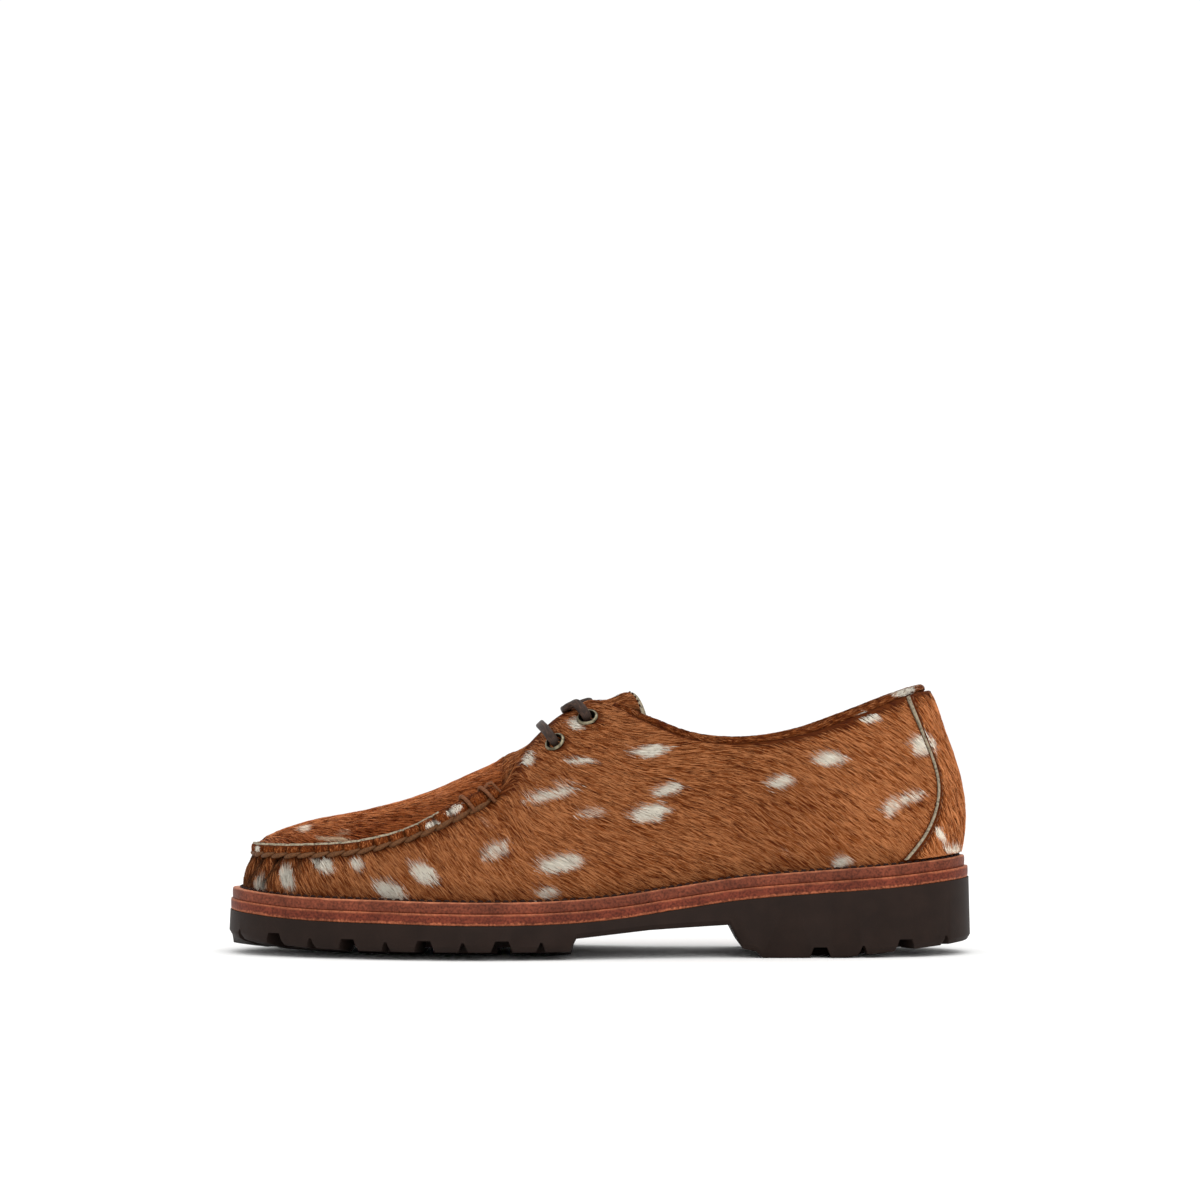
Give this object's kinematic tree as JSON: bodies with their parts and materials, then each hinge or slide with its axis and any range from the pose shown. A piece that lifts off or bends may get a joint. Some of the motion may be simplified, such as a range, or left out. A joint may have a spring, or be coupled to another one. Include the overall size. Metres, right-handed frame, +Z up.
{
  "type": "moc-toe derby shoe",
  "caption": "Left moc-toe lace-up shoe of spotted hair-on hide with a raised apron seam, open facings, brass eyelets and a lugged rubber sole under a leather welt.",
  "frame": {"origin": "on the floor, under the middle of the shoe's bounding box", "axes": "+X from the toe to the heel, +Y to the inner side of the foot, +Z up"},
  "size_m": [0.3008, 0.1069, 0.1083],
  "materials": {
    "hair_on_hide": "short reddish-brown hair with cream spots",
    "edge_leather": "reddish-brown stacked leather, waxed",
    "lining_leather": "smooth tan leather",
    "lug_rubber": "matt dark brown",
    "lace_leather": "dark brown, dull",
    "antique_brass": "antiqued, half gloss"
  },
  "bodies": {
    "root": {"outsole": "lug_rubber", "midsole": "edge_leather", "welt": "edge_leather", "insole": "lining_leather", "upper": "hair_on_hide", "moc_seam": "hair_on_hide", "collar_binding": "hair_on_hide", "heel_strip": "hair_on_hide", "tongue": "hair_on_hide", "eyelet_outer_lower": "antique_brass", "eyelet_outer_upper": "antique_brass", "eyelet_inner_lower": "antique_brass", "eyelet_inner_upper": "antique_brass", "lace_bar_lower": "lace_leather", "lace_bar_upper": "lace_leather"}
  },
  "joints": []
}
